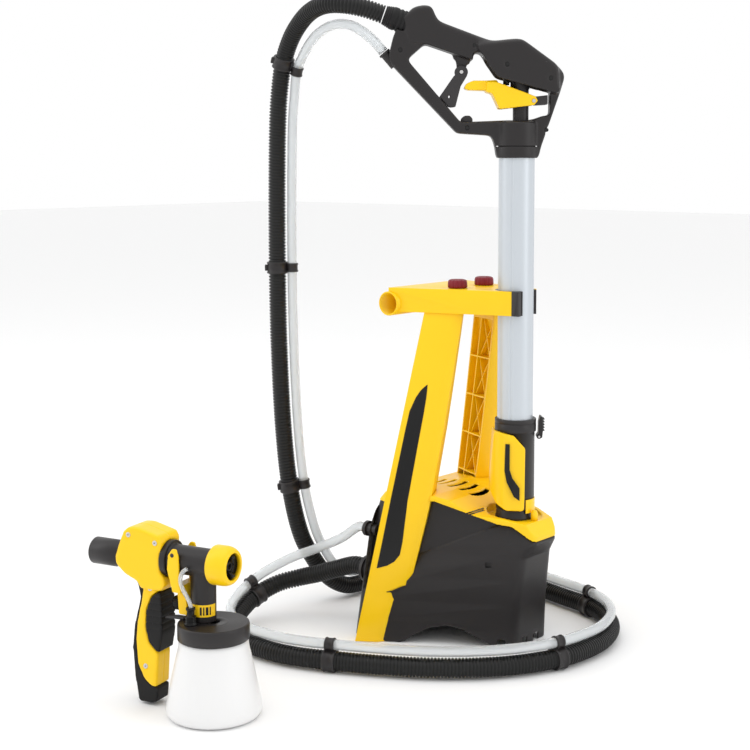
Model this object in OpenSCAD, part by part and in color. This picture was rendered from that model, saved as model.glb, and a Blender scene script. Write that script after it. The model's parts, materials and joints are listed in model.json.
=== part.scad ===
/* [Turbine base] */
// Wall thickness of the base housing
base_wall = 3; // [2.5:0.5:4]
// Underside of the floor pan above the ground
pan_z = 36; // [30:1:42]
// Radius of the recess that the lance stands in
recess_r = 39; // [37:1:41]
// Radius of the turbine motor can
motor_r = 42; // [34:1:44]
// Radius of the turbine fan
fan_r = 46; // [36:1:47]

/* [Frame] */
// Depth of a side frame, from its outer face inwards
leg_depth = 26; // [22:1:28]
// Height of the underside of the top platform
platform_z = 465; // [455:1:470]
// Height of the platform's sides
platform_h = 34; // [28:1:36]
// Outer radius of the carry tube
carry_r = 17.3; // [15:0.1:18]
// Bore radius of the carry tube
carry_bore_r = 15.25; // [12:0.25:15.5]
// Length of the carry tube
carry_length = 178; // [160:1:190]
// Radius of a control knob
knob_r = 14; // [10:1:15]

/* [Lance] */
// Radius of the aluminium lance tube
pole_r = 25; // [23:0.5:25]
// Height where the lance tube leaves the lower housing
pole_low_z = 300; // [290:1:312]
// Height where the lance tube enters the handle
pole_top_z = 700; // [690:1:705]
// Half width of the handle's head
head_half = 24; // [22:1:26]
// Half width of the grip
grip_half = 17; // [15:1:18]
// Half width of the guard loop
guard_half = 13; // [11:1:14]

/* [Hoses] */
// Outer diameter of the air hose
hose_d = 26; // [22:1:26]
// Outer diameter of the clear paint tube
tube_d = 14; // [10:1:14]

/* [Spray gun] */
// Bottom radius of the paint cup
cup_r = 59; // [54:1:60]
// Radius of the paint cup under its lid
cup_neck_r = 42; // [38:1:43]
// Height of the paint cup up to its lid
cup_h = 96; // [88:1:98]
// Radius of the gun barrel
barrel_r = 18; // [15:0.5:18]
// Bore radius of the gun's air inlet
inlet_bore_r = 14.5; // [12:0.5:15]

/* [Hidden] */

$fn = 48;
fit = 0.3;
running = 0.05;
huge = 900;

yellow = "#fccc05";
orange = "#f2a516";
charcoal = "#35302f";
black = "#1c1b1b";

// ---- Base unit: section through the housing at a height, as four corners from nose to back ----
nose = [[0, 29, 39], [60, 32, 38], [128, 40, 36], [150, 54, 30], [205, 50, 26], [226, 40, 20]];
flank = [[0, -150, 141], [150, -142, 117], [205, -134, 106], [226, -118, 88]];
rear = [[0, -187, 134], [150, -180, 112], [190, -174, 102], [226, -150, 76]];
base_heights = [0, 30, 60, 95, 128, 150, 170, 188, 205, 218, 226];
base_top_z = 226;

// The seam between the dark housing and the yellow cover, seen from the side
seam = [[-240, 189], [-150, 193], [-80, 200], [5, 174], [24, 172], [56, 150], [90, 148]];
// The top of the yellow cover, seen from the side
cover_top = [
    [90, 153], [54, 158], [42, 176], [10, 182], [-20, 184], [-36, 187], [-48, 195], [-60, 203],
    [-84, 208], [-112, 210], [-150, 205], [-240, 197]
];
vent_count = 5;
vent_first_x = -138;
vent_pitch = 19;
vent_width = 7;
vent_bow = 60;
motor_x = -95;
outlet_x = -190;

// ---- Side frames: outer face from foot to platform ----
leg_foot = [-164, -156];
leg_head = [-109, -69];
leg_angles = [33, 21];
leg_widths = [[0, 44], [60, 46], [71, 40], [81, 61], [195, 65], [300, 62], [465, 55]];
leg_heights = [0, 30, 60, 71, 81, 120, 150, 178, 205, 250, 300, 350, 400, 440, 465];
leg_swell = 18;
leg_depths = [[0, leg_depth], [150, leg_depth], [205, leg_depth + leg_swell], [465, leg_depth - 14]];
leg_chamfer = 12;
leg_skin = 3;
rib_t = 2;
rib_low = 96;
rib_high = 450;
rib_bays = 6;
platform_plan = [[-159, -88], [-28, -43], [14, -31], [14, 31], [-28, 43], [-159, 88]];

// ---- Lance: drawn in its own plane, u to the grip side, turned about the pole's axis ----
lance_turn = 220;
handle_outline = [
    [29, 682], [31, 699], [36, 714], [84, 717], [176, 813], [179, 824], [171, 857], [164, 875],
    [143, 892], [124, 895], [117, 890], [110, 872], [37, 844], [12, 847], [-4, 848], [-55, 811],
    [-64, 802], [-66, 795], [-62, 784], [-33, 699], [-29, 682]
];
guard_opening = [
    [153, 819], [129, 840], [44, 811], [29, 793], [-22, 779], [-36, 785], [-41, 778],
    [-36, 742], [-22, 737], [79, 733]
];
head_outline = [[62, 840], [37, 844], [12, 847], [-4, 848], [-55, 811], [-58, 770], [-22, 779], [29, 793]];
grip_outline = [
    [163, 877], [143, 892], [124, 895], [117, 890], [110, 872], [30, 842], [30, 806], [44, 811],
    [129, 840], [150, 842]
];
handle_screw_at = [
    [16, 812, 23], [-44, 793, 23], [163, 832, 12.5], [-40, 722, 12.5], [70, 725, 12.5], [60, 838, 16]
];
inlet_start = [185, 829];
inlet_tilt = 220.5;
trigger_slot = [[-44, 742], [-44, 782], [-24, 794], [30, 818], [62, 830], [62, 742]];
cheek_outline = [
    [30, 788], [-14, 772], [-24, 768], [-27, 762], [-22, 756], [20, 751], [26, 751], [36, 772], [44, 774],
    [44, 788]
];
finger_outline = [
    [28, 791], [44, 790], [62, 790], [71, 786], [75, 779], [69, 777], [44, 776], [35, 770], [28, 756]
];
neck_u = -5;
neck_r = 11;
trigger_axis = [-21.5, 762];
lever_axis = [78, 802];
latch_axis = [-33.5, 292];
pin_r = 2.5;
cuff_start = [150, 868];
cuff_tilt = 20;
cover_outline = [
    [31, 303], [4, 297], [-12, 279], [-11, 190], [14, 191], [28, 200], [36, 217], [35, 250]
];
ring_z = 176;
clip_r = pole_r + 3.8;

// ---- Free hoses: centre lines from the base to the handle ----
air_route = [
    [outlet_x, -100, 89], [-214, -100, 89], [-248, -103, 77], [-278, -110, 66], [-304, -122, 58],
    [-326, -145, 50], [-337, -178, 38], [-334, -212, 25], [-321, -242, 16], [-296, -268, 14.5],
    [-256, -287, 14.5], [-205, -293, 14.5], [-158, -287, 14.5], [-110, -269, 14.5], [-52, -242, 14.5],
    [3, -210, 14.5], [52, -170, 14.5], [90, -124, 14.5], [118, -66, 14.5], [127, -12, 14.5],
    [125, 36, 14.5], [107, 88, 14.5], [74, 130, 14.5], [28, 158, 14.5], [-30, 174, 14.5],
    [-90, 190, 14.5], [-150, 204, 14.5], [-205, 200, 14.5], [-255, 175, 14.5], [-290, 132, 14.5],
    [-308, 82, 14.5], [-312, 34, 14.5], [-313, -6, 19], [-320, -38, 38], [-328, -64, 72],
    [-334, -87, 117], [-338, -105, 190], [-343, -113, 280], [-347, -117, 400], [-349, -118, 520],
    [-349, -118, 640], [-347, -118, 730], [-343, -118, 780], [-332, -121, 822], [-312, -127, 854],
    [-284, -136, 877], [-252, -147, 891], [-219, -154, 897], [-189, -151, 896], [-163, -137, 890],
    [-142, -119, 881]
];
tube_route = [
    [outlet_x, -100, 148], [-206, -100, 147], [-233, -107, 127], [-270, -117, 108], [-306, -133, 91],
    [-332, -162, 72], [-340, -187, 59], [-337, -219, 47], [-322, -246, 39], [-296, -268, 36.5],
    [-256, -287, 36.5], [-205, -293, 36.5], [-158, -287, 36.5], [-110, -269, 36.5], [-52, -242, 36.5],
    [3, -210, 36.5], [52, -170, 36.5], [90, -124, 36.5], [118, -66, 36.5], [127, -12, 36.5],
    [125, 36, 36.5], [107, 88, 36.5], [74, 130, 36.5], [28, 158, 36.5], [-30, 174, 36.5],
    [-90, 190, 36.5], [-150, 204, 36.5], [-205, 200, 36.5], [-255, 175, 36.5], [-290, 132, 36.5],
    [-308, 82, 36.5], [-312, 34, 36.5], [-311, 0, 40], [-316, -26, 55], [-316, -50, 83],
    [-317, -73, 124], [-321, -91, 193], [-326, -99, 281], [-330, -103, 400], [-332, -104, 520],
    [-332, -104, 640], [-330, -104, 730], [-325, -105, 775], [-315, -110, 810], [-296, -115, 835],
    [-270, -123, 855], [-240, -131, 867], [-210, -137, 871], [-183, -139, 867], [-165, -135, 857],
    [-152, -127, 844], [-142, -119, 829]
];
// Clips, each as an index in the air route and one in the tube route
clips = [[6, 6], [13, 13], [18, 18], [23, 23], [36, 36], [39, 39], [43, 43]];
clip_length = 14;

// ---- Spray gun: own frame, x forward along the barrel, centred on the cup ----
gun_at = [-119, -474, 0];
gun_turn = 13;
barrel_z = 188;
shell_outline = [
    [-132, 176], [-133, 187], [-126, 206], [-120, 220], [-112, 226], [-100, 227], [-66, 219], [-62, 210],
    [-66, 190], [-66, 174], [-60, 168], [-58, 158], [-66, 148], [-71, 140], [-72, 94], [-74, 62], [-77, 20],
    [-92, 20], [-103, 40], [-108, 72], [-106, 99], [-97, 137], [-95, 150], [-100, 158], [-118, 165]
];
grip_hole = [
    [-60, 150], [-72, 148], [-83, 140], [-91, 122], [-92, 98], [-87, 80], [-74, 69], [-60, 66]
];
insert_outline = [
    [-68, 146.5], [-72.4, 146.5], [-82.6, 139.2], [-90.5, 121.8], [-91.5, 98.2], [-86.5, 80.8],
    [-75.5, 70.6], [-70.5, 70.3], [-66.5, 94], [-66, 121]
];
strap_outline = [
    [-99, 157], [-95, 150], [-97, 137], [-104, 108], [-107, 82], [-104, 50], [-95, 33], [-84, 25],
    [-75, 25], [-77, 6], [-85, 3], [-97, 3], [-104, 3], [-110, 35], [-113, 71], [-110, 99], [-100, 137],
    [-105, 155], [-118, 162]
];
gun_trigger_outline = [
    [-40, 206], [-46, 206], [-52, 198], [-54, 180], [-50, 166], [-46, 152], [-44, 122], [-31, 122],
    [-34, 158], [-36, 174], [-37, 196]
];
trigger_pivot_z = 198;
trigger_x = -46;
neck_x = -14;
gun_screw_at = [[-112, 216, 21.4], [-72, 210, 21.4], [-84, 150, 15.4], [-92, 50, 15.4]];
valve_at = [-18, -23];
pressure_route = [
    [-24, -21, 184], [-27, -22, 182], [-31, -23, 177], [-32, -24, 168], [-28, -24, 158], [-22, -23, 148],
    [-18, -23, 140], [-18, -23, 134]
];

// ================= helpers =================
function mix(a, b, t) = a + (b - a) * t;
function table(rows, z) = lookup(z, [for (r = rows) [r[0], r[1]]]);
function table2(rows, z) = lookup(z, [for (r = rows) [r[0], r[2]]]);
function unit(v) = v / norm(v);

// A fillet of radius r at b, between its neighbours a and c
function fillet(a, b, c, r, steps) =
    let (
        ba = unit(a - b),
        bc = unit(c - b),
        half = acos(ba * bc) / 2,
        reach = min(r / tan(half), norm(a - b) * 0.48, norm(c - b) * 0.48),
        p = b + ba * reach,
        q = b + bc * reach
    )
    [for (i = [0:steps]) let (t = i / steps) mix(mix(p, b, t), mix(b, q, t), t)];

function rounded(pts, r, steps = 4) =
    let (n = len(pts))
    [for (i = [0:n - 1]) each fillet(pts[(i + n - 1) % n], pts[i], pts[(i + 1) % n], r, steps)];

// A closed solid through rings of equally many points, each ring anticlockwise from above
module loft(rings) {
    n = len(rings[0]);
    last = len(rings) - 1;
    sides = [
        for (k = [0:last - 1], i = [0:n - 1])
            let (a = k * n + i, b = k * n + (i + 1) % n)
            each [[a, b + n, b], [a, a + n, b + n]]
    ];
    bottom = [for (i = [0:n - 1]) i];
    top = [for (i = [n - 1:-1:0]) last * n + i];
    polyhedron([for (ring = rings) each ring], concat([bottom], sides, [top]));
}

// Sides of a swept tube, carried along its route without twist
function turned(v, from, to) =
    let (axis = cross(from, to), s = norm(axis), c = from * to)
    s < 1e-9 ? v : let (k = axis / s) v * c + cross(k, v) * s + k * (k * v) * (1 - c);

function tangent(route, i) = unit(route[min(i + 1, len(route) - 1)] - route[max(i - 1, 0)]);

function normals(route, i = 0, so_far = []) =
    i == len(route) ? so_far :
    let (
        t = tangent(route, i),
        carried = i == 0
            ? cross(t, [0, 0.3, 1])
            : turned(so_far[i - 1], tangent(route, i - 1), t)
    )
    normals(route, i + 1, concat(so_far, [unit(carried - t * (carried * t))]));

module swept_tube(route, d, sides) {
    along = normals(route);
    loft([
        for (i = [0:len(route) - 1])
            let (t = tangent(route, i), side = cross(t, along[i]))
            [for (k = [0:sides - 1]) let (a = 360 * k / sides)
                route[i] + (along[i] * cos(a) + side * sin(a)) * d / 2]
    ]);
}

// A prism across the side view, between y = from and y = to
module across(pts, from, to) {
    translate([0, to, 0]) rotate([90, 0, 0]) linear_extrude(to - from) polygon(pts);
}

module across_rod(at, r, from, to) {
    translate([at[0], to, at[1]]) rotate([90, 0, 0]) cylinder(h = to - from, r = r);
}

// Cylinder along x
module lying(x0, x1, z, r, r2 = undef) {
    translate([x0, 0, z]) rotate([0, 90, 0]) cylinder(h = x1 - x0, r1 = r, r2 = is_undef(r2) ? r : r2);
}

module lance_frame() {
    rotate([0, 0, lance_turn]) children();
}

module gun_frame() {
    translate(gun_at) rotate([0, 0, gun_turn]) children();
}

// ================= base unit =================
function base_plan(z, inset) =
    let (
        n = [table(nose, z) - inset, table2(nose, z) - inset * 0.8],
        f = [table(flank, z), table2(flank, z) - inset * 1.2],
        r = [table(rear, z) + inset, table2(rear, z) - inset * 0.9]
    )
    [[n[0], -n[1]], n, f, r, [r[0], -r[1]], [f[0], -f[1]]];

function base_ring(z, inset) = [for (p = rounded(base_plan(z, inset), 16, 5)) [p[0], p[1], z]];

module base_form(inset, low, high) {
    zs = [low, for (z = base_heights) if (z > low && z < high) z, high];
    loft([for (z = zs) base_ring(z, inset)]);
}

module below_seam(drop) {
    across(concat([for (p = seam) [p[0], p[1] - drop]], [[90, -20], [-240, -20]]), -200, 200);
}

module between_seam_and_top(drop, rise) {
    across(concat([for (p = seam) [p[0], p[1] + rise]], [for (p = cover_top) [p[0], p[1] - drop]]), -200, 200);
}

module base_arches() {
    // One wide arch through both flanks, and two small ones by the nose
    across([[-112, -1], [-98, 9], [-78, 22], [-56, 27], [-34, 22], [-8, 7], [4, -1]], -200, 200);
    for (x = [12, 34]) {
        across(rounded([[x - 5, -10], [x + 5, -10], [x + 5, 12], [x - 5, 12]], 4), -60, 60);
    }
    for (y = [-14, 14]) {
        translate([20, y - 5, -1]) cube([30, 10, 12]);
    }
}

module leg_pockets(extra) {
    leg_solid(extra);
    mirror([0, 1, 0]) leg_solid(extra);
}

module base_housing() {
    color(charcoal) difference() {
        intersection() {
            base_form(0, 0, 210);
            below_seam(0);
        }
        difference() {
            base_form(base_wall, -1, 209.5);
            leg_pockets(base_wall);
        }
        leg_pockets(0.1);
        base_arches();
        translate([motor_x - 100, -100, 89]) rotate([0, 90, 0]) cylinder(h = 40, r = 17.1);
        translate([motor_x - 100, -100, 148]) rotate([0, 90, 0]) cylinder(h = 40, r = 8.1);
        translate([motor_x - 100, 60, 60]) rotate([0, 90, 0]) cylinder(h = 40, r = 9.1);
    }
}

module base_pan() {
    color(black) difference() {
        base_form(base_wall + 0.6, pan_z, pan_z + 3);
        leg_pockets(base_wall + fit);
    }
}

module base_feet() {
    color(black) for (at = [[0, 0], [-150, -60], [-150, 60]]) {
        translate([at[0], at[1], 0]) cylinder(h = pan_z, r1 = 13, r2 = 15);
    }
}

module top_cover() {
    color(yellow) difference() {
        union() {
            difference() {
                intersection() {
                    base_form(0, 140, base_top_z);
                    between_seam_and_top(0, 0.2);
                }
                intersection() {
                    base_form(base_wall, 130, base_top_z - 3);
                    between_seam_and_top(3, -30);
                }
            }
            intersection() {
                base_form(base_wall + fit, 160, base_top_z);
                across(concat([for (p = cover_top) [p[0], p[1] - 1]], [[-240, 160], [90, 120]]), -200, 200);
                translate([0, 0, ring_z - 3]) cylinder(h = 60, r = recess_r + 3);
            }
        }
        translate([0, 0, ring_z]) cylinder(h = 60, r = recess_r);
        leg_pockets(0.1);
        for (k = [0:vent_count - 1]) {
            translate([vent_first_x + k * vent_pitch - vent_bow, 0, 188]) intersection() {
                difference() {
                    cylinder(h = 40, r = vent_bow + vent_width);
                    translate([0, 0, -1]) cylinder(h = 42, r = vent_bow);
                }
                translate([0, -22, -1]) cube([2 * vent_bow, 44, 42]);
            }
        }
    }
}

module socket_peg() {
    color(yellow) translate([recess_r - 5, 0, ring_z]) cylinder(h = 15, r = 4.5);
}

// ================= frame =================
function leg_ring(z, extra) =
    let (
        t = z / platform_z,
        a = mix(leg_angles[0], leg_angles[1], t),
        back = mix(leg_foot, leg_head, t),
        along = [cos(a), sin(a)],
        inward = [-sin(a), cos(a)],
        w = lookup(z, leg_widths) + extra,
        d = lookup(z, leg_depths) + extra,
        section = [
            [-extra, -extra], [w - leg_chamfer, -extra], [w, leg_chamfer / 2], [w, d], [-extra, d]
        ]
    )
    [for (p = section) let (q = back + along * p[0] + inward * p[1]) [q[0], q[1], z]];

module leg_solid(extra) {
    loft([for (z = leg_heights) leg_ring(z, extra)]);
}

// A point of the leg in its own section: s along the face, d inwards
function in_leg(z, s, d) =
    let (
        t = z / platform_z,
        a = mix(leg_angles[0], leg_angles[1], t),
        q = mix(leg_foot, leg_head, t) + [cos(a), sin(a)] * s + [-sin(a), cos(a)] * d
    )
    [q[0], q[1], z];

module leg_block(zs, s0, s1, d0, d1) {
    loft([
        for (z = zs)
            let (w = lookup(z, leg_widths))
            [in_leg(z, s0, d0), in_leg(z, w - s1, d0), in_leg(z, w - s1, d1), in_leg(z, s0, d1)]
    ]);
}

// A hollow side frame, open inwards, with shelf ribs left between its bays
module side_frame() {
    bay = (rib_high - rib_low) / rib_bays;
    difference() {
        leg_solid(0);
        for (k = [0:rib_bays - 1]) {
            low = rib_low + k * bay;
            leg_block([low, low + bay - rib_t], leg_skin, leg_skin + 1, leg_skin + 5, leg_depth + leg_swell + 4);
        }
    }
}

module side_frame_near() {
    color(yellow) side_frame();
}

module side_frame_far() {
    color(orange) mirror([0, 1, 0]) side_frame();
}

module frame_inlay() {
    rows = [[104, 9, 1], [108, 9, 14], [114, 9, 23], [124, 9, 29], [142, 9, 29], [200, 8.5, 24.5],
        [300, 8.5, 22], [326, 9, 21], [346, 14, 15], [356, 19, 9], [364, 26, 1]];
    difference() {
        loft([
            for (r = rows)
                [
                    in_leg(r[0], r[1], -0.6), in_leg(r[0], r[1] + r[2], -0.6),
                    in_leg(r[0], r[1] + r[2], 2), in_leg(r[0], r[1], 2)
                ]
        ]);
        leg_solid(0);
    }
}

module frame_inlays() {
    color(black) {
        frame_inlay();
        mirror([0, 1, 0]) frame_inlay();
    }
}

module platform() {
    color(yellow) difference() {
        translate([0, 0, platform_z]) linear_extrude(platform_h) polygon(platform_plan);
        translate([0, 0, platform_z - 1]) linear_extrude(platform_h - 3)
            polygon([[-138, -76], [-32, -38], [-32, 38], [-138, 76]]);
        translate([0, 0, platform_z - 1]) cylinder(h = platform_h + 2, r = clip_r + 0.1);
        translate([0, -clip_r, platform_z - 1]) cube([40, 2 * clip_r, platform_h + 2]);
        translate([-159, -huge / 2, 476]) rotate([-90, 0, 0]) cylinder(h = huge, r = carry_r + 0.05);
        translate([-159 - 40, -huge / 2, platform_z - 1]) cube([40, huge, platform_h + 2]);
        for (s = [-1, 1]) {
            translate([-78, s * 32, platform_z + 20]) cylinder(h = 30, r = 4.05);
        }
    }
}

module carry_tube() {
    color(yellow) translate([-159, -carry_length / 2, 476]) rotate([-90, 0, 0]) difference() {
        cylinder(h = carry_length, r = carry_r);
        translate([0, 0, -1]) cylinder(h = carry_length + 2, r = carry_bore_r);
    }
}

module pole_clip() {
    jaw = 36;
    color(black) difference() {
        union() {
            translate([0, 0, platform_z]) cylinder(h = platform_h, r = clip_r);
            translate([14.2, -31, platform_z]) cube([11, 7, platform_h]);
        }
        translate([0, 0, platform_z - 1]) cylinder(h = platform_h + 2, r = pole_r + 0.1);
        translate([0, 0, platform_z - 1]) linear_extrude(platform_h + 2)
            polygon([[0, 0], [80, -80 * tan(jaw)], [80, 80 * tan(jaw)]]);
        translate([14, -44, platform_z - 6]) rotate([0, 45, 0]) cube([20, 20, 9]);
    }
}

module control_knob() {
    grip_notches = 14;
    difference() {
        union() {
            translate([0, 0, platform_z + platform_h + fit]) cylinder(h = 12, r = knob_r);
            translate([0, 0, platform_z + platform_h - 8]) cylinder(h = 10, r = 4);
        }
        for (k = [0:grip_notches - 1]) {
            rotate([0, 0, k * 360 / grip_notches]) translate([knob_r + 0.7, 0, platform_z + platform_h + 2.5])
                cylinder(h = 12, r = 1.7, $fn = 16);
        }
    }
}

module air_knob() {
    color("#8e1f2c") translate([-78, -32, 0]) control_knob();
}

module paint_knob() {
    color("#8e1f2c") translate([-78, 32, 0]) control_knob();
}

// ================= inside the base =================
module motor_can() {
    color("silver") translate([motor_x, 0, pan_z + 3]) difference() {
        union() {
            cylinder(h = 78, r = motor_r);
            translate([0, 0, 78]) cylinder(h = 6, r = 12);
        }
        translate([0, 0, 6]) cylinder(h = 66, r = motor_r - 3);
        translate([0, 0, 2]) cylinder(h = 90, r = 4 + running);
    }
}

module turbine_shaft() {
    color("gray") translate([motor_x, 0, pan_z + 6]) {
        cylinder(h = 118, r = 4);
        translate([0, 0, 20]) cylinder(h = 40, r = 20);
    }
}

module turbine_fan() {
    blades = 9;
    color("lightgray") translate([motor_x, 0, 134]) difference() {
        union() {
            cylinder(h = 2.5, r = fan_r);
            cylinder(h = 14, r = 9);
            for (k = [0:blades - 1]) {
                rotate([0, 0, k * 360 / blades]) translate([8, 0, 0]) cube([fan_r - 12, 1.8, 12]);
            }
        }
        translate([0, 0, -1]) cylinder(h = 20, r = 4);
    }
}

module fan_volute() {
    color(charcoal) translate([motor_x, 0, 126]) difference() {
        cylinder(h = 32, r = fan_r + 8);
        translate([0, 0, 3]) cylinder(h = 26, r = fan_r + 4);
        translate([0, 0, -1]) cylinder(h = 34, r = 14);
        translate([-10, -fan_r - 20, 8]) cube([20, 30, 16]);
    }
}

module paint_pump() {
    color("dimgray") translate([-172, -88, 100]) cube([30, 30, 44]);
}

module control_board() {
    color("darkgreen") translate([-160, 62, pan_z + 3]) {
        cube([44, 26, 2]);
        translate([6, 5, 2]) cube([14, 14, 12]);
        translate([26, 5, 2]) cube([10, 10, 18]);
    }
}

module air_filter() {
    color("white") translate([motor_x, 0, 158 + fit]) difference() {
        cylinder(h = 12, r = 40);
        translate([0, 0, -1]) cylinder(h = 14, r = 15);
    }
}

module outlet(z, r, bore, length) {
    translate([outlet_x, -100, z]) rotate([0, 90, 0]) difference() {
        union() {
            cylinder(h = length, r = r);
            translate([0, 0, 0.5]) cylinder(h = 5, r = r + 3);
        }
        translate([0, 0, 4]) cylinder(h = length, r = bore);
    }
}

module hose_outlet() {
    color(black) outlet(89, 16, 11, 20);
}

module paint_outlet() {
    color(black) outlet(148, 8, 4, 22);
}

module mains_inlet() {
    color(black) translate([-192, 60, 60]) rotate([0, 90, 0]) difference() {
        union() {
            cylinder(h = 24, r = 9);
            cylinder(h = 4, r = 12);
        }
        translate([0, 0, -1]) cylinder(h = 20, r = 4.2);
    }
}

module handle_screw_rods(r) {
    for (at = handle_screw_at) {
        across_rod([at[0], at[1]], r, at[2] - 8, at[2]);
    }
}

module housing_screws() {
    color("silver") {
        for (x = [-140, -20], s = [-1, 1]) {
            translate([x, s * (x < -100 ? 80 : 25), pan_z - 2.5]) cylinder(h = 2.5, r = 4);
        }
        lance_frame() handle_screw_rods(2.6);
    }
}

// ================= lance =================
module lance_tube() {
    color("lightsteelblue") difference() {
        translate([0, 0, pole_low_z]) cylinder(h = pole_top_z - pole_low_z, r = pole_r, $fn = 72);
        translate([0, 0, pole_low_z - 1]) cylinder(h = pole_top_z - pole_low_z + 2, r = pole_r - 2, $fn = 72);
    }
}

module handle_solid() {
    difference() {
        union() {
            difference() {
                across(rounded(handle_outline, 7, 3), -guard_half, guard_half);
                across(rounded(guard_opening, 5, 3), -40, 40);
            }
            across(rounded(grip_outline, 6, 3), -grip_half, grip_half);
            across(rounded(head_outline, 6, 3), -head_half, head_half);
            intersection() {
                translate([0, 0, 680]) cylinder(h = 56, r = 29);
                across([[30, 682], [32, 699], [37, 734], [-48, 734], [-35, 699], [-31, 682]], -29, 29);
            }
            across([[66, 812], [90, 820], [88, 834], [68, 827]], -6, 6);
            across_rod(lever_axis, 7, -4, 4);
            across([[72, 800], [84, 800], [86, 824], [70, 818]], -4, 4);
        }
        translate([0, 0, 670]) cylinder(h = 30.2, r = pole_r + running);
        translate([neck_u, 0, 690]) cylinder(h = 140, r = neck_r + fit);
        across(trigger_slot, -19, 19);
        across_rod(lever_axis, pin_r, -30, 30);
        translate([cuff_start[0], 0, cuff_start[1]]) rotate([0, -90 + cuff_tilt, 0]) {
            translate([0, 0, -30]) cylinder(h = 130, r = 10);
        }
        translate([cuff_start[0], 0, cuff_start[1]]) rotate([0, 90 - cuff_tilt, 0])
            translate([0, 0, -10]) cylinder(h = 60, r = 16.1);
        at_paint_inlet() translate([0, 0, -10]) cylinder(h = 34.2, r = 7.1);
        handle_screw_rods(2.65);
        for (at = handle_screw_at) {
            across_rod([at[0], at[1]], 2.65, at[2] - 1, 40);
        }
    }
}

module handle_near() {
    color(charcoal) lance_frame() intersection() {
        handle_solid();
        translate([-huge / 2, 0, 0]) cube([huge, 100, huge + 100]);
    }
}

module handle_far() {
    color(charcoal) lance_frame() intersection() {
        handle_solid();
        translate([-huge / 2, -100, 0]) cube([huge, 100, huge + 100]);
    }
}

module handle_neck() {
    color(black) lance_frame() translate([neck_u, 0, 701]) difference() {
        cylinder(h = 128, r = neck_r);
        translate([0, 0, -1]) cylinder(h = 130, r = neck_r - 3);
    }
}

module pivot_bracket() {
    color("gray") lance_frame() difference() {
        across([[-41, 757], [-41, 770], [-24, 768], [-18.5, 765], [-18.5, 759], [-24, 756]], -13.9, 13.9);
        across_rod(trigger_axis, pin_r + running, -30, 30);
    }
}

module lance_pins() {
    color("silver") lance_frame() {
        across_rod(trigger_axis, pin_r, -18.6, 18.6);
        across_rod(lever_axis, pin_r, -8.4, 8.4);
        across_rod(latch_axis, 1.5, -9, 9);
    }
}

module lance_trigger() {
    color(yellow) lance_frame() difference() {
        union() {
            across(cheek_outline, -18, 18);
            across(rounded(finger_outline, 3, 3), -13, 13);
        }
        translate([-60, -14.3, 740]) cube([86, 28.6, 60]);
        across_rod(trigger_axis, pin_r + running, -30, 30);
    }
}

module lock_lever() {
    color("dimgray") lance_frame() difference() {
        union() {
            for (s = [[-8, -4.4], [4.4, 8]]) {
                across_rod(lever_axis, 9, s[0], s[1]);
                across([[70, 797], [88, 797], [96, 756], [92, 753], [86, 754], [79, 782]], s[0], s[1]);
                across([[82, 798], [88, 797], [108, 768], [104, 763], [98, 764]], s[0], s[1]);
            }
            across([[108, 768], [104, 763], [96, 754], [92, 753], [86, 754], [90, 762], [101, 770]], -8, 8);
        }
        across_rod(lever_axis, pin_r + running, -30, 30);
    }
}

module hose_cuff() {
    color(black) lance_frame() translate([cuff_start[0], 0, cuff_start[1]]) rotate([0, 90 - cuff_tilt, 0])
        difference() {
            union() {
                cylinder(h = 24, r = 16);
                translate([0, 0, 24]) cylinder(h = 13, r1 = 16, r2 = 13.2);
            }
            translate([0, 0, -1]) cylinder(h = 36, r = 10);
        }
}

module at_paint_inlet() {
    translate([inlet_start[0], 0, inlet_start[1]]) rotate([0, inlet_tilt, 0]) children();
}

module paint_inlet() {
    color(black) lance_frame() at_paint_inlet() difference() {
        union() {
            cylinder(h = 24, r = 7);
            cylinder(h = 3, r = 8.5);
        }
        translate([0, 0, 4]) cylinder(h = 30, r = 3.5);
    }
}

module lower_housing() {
    color(charcoal) lance_frame() difference() {
        union() {
            translate([0, 0, 300]) cylinder(h = 18, r = 29);
            translate([-2, 0, 190]) cylinder(h = 112, r = 27);
        }
        translate([0, 0, pole_low_z]) cylinder(h = 40, r = pole_r + running);
        translate([-2, 0, 180]) cylinder(h = 110, r = 22);
    }
}

module lower_cover() {
    color(yellow) lance_frame() difference() {
        across(rounded(cover_outline, 5, 3), -30, 30);
        translate([-2, 0, 180]) cylinder(h = 140, r = 27 + running);
        translate([0, 0, 300]) cylinder(h = 40, r = 29 + running);
        translate([0, 0, 180]) difference() {
            translate([-60, -60, 0]) cube([120, 120, 140]);
            translate([3, 0, -1]) cylinder(h = 150, r = 33.5);
        }
    }
}

module lower_inlay() {
    color(black) lance_frame() intersection() {
        across([[16, 286], [10, 286], [10, 250], [6, 238], [-4, 224], [-4, 206], [4, 212], [14, 232], [17, 248]],
            0, 40);
        translate([3, 0, 180]) difference() {
            cylinder(h = 130, r = 34);
            translate([0, 0, -1]) cylinder(h = 132, r = 33.5);
        }
    }
}

module socket_ring() {
    color(black) difference() {
        translate([0, 0, ring_z]) cylinder(h = 14, r1 = 27, r2 = 25.5);
        translate([0, 0, ring_z - 1]) cylinder(h = 16, r = 20);
    }
}

module latch() {
    color(black) lance_frame() difference() {
        union() {
            across([[-32.5, 290], [-38, 290], [-39, 300], [-38, 320], [-35, 321], [-33, 312]], -8, 8);
            across_rod(latch_axis, 3.5, -8, 8);
        }
        across_rod(latch_axis, 1.5 + running, -20, 20);
    }
}

// ================= hoses =================
module air_hose() {
    color(black) swept_tube(air_route, hose_d, 10);
}

module paint_tube() {
    color("white") swept_tube(tube_route, tube_d, 8);
}

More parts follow.
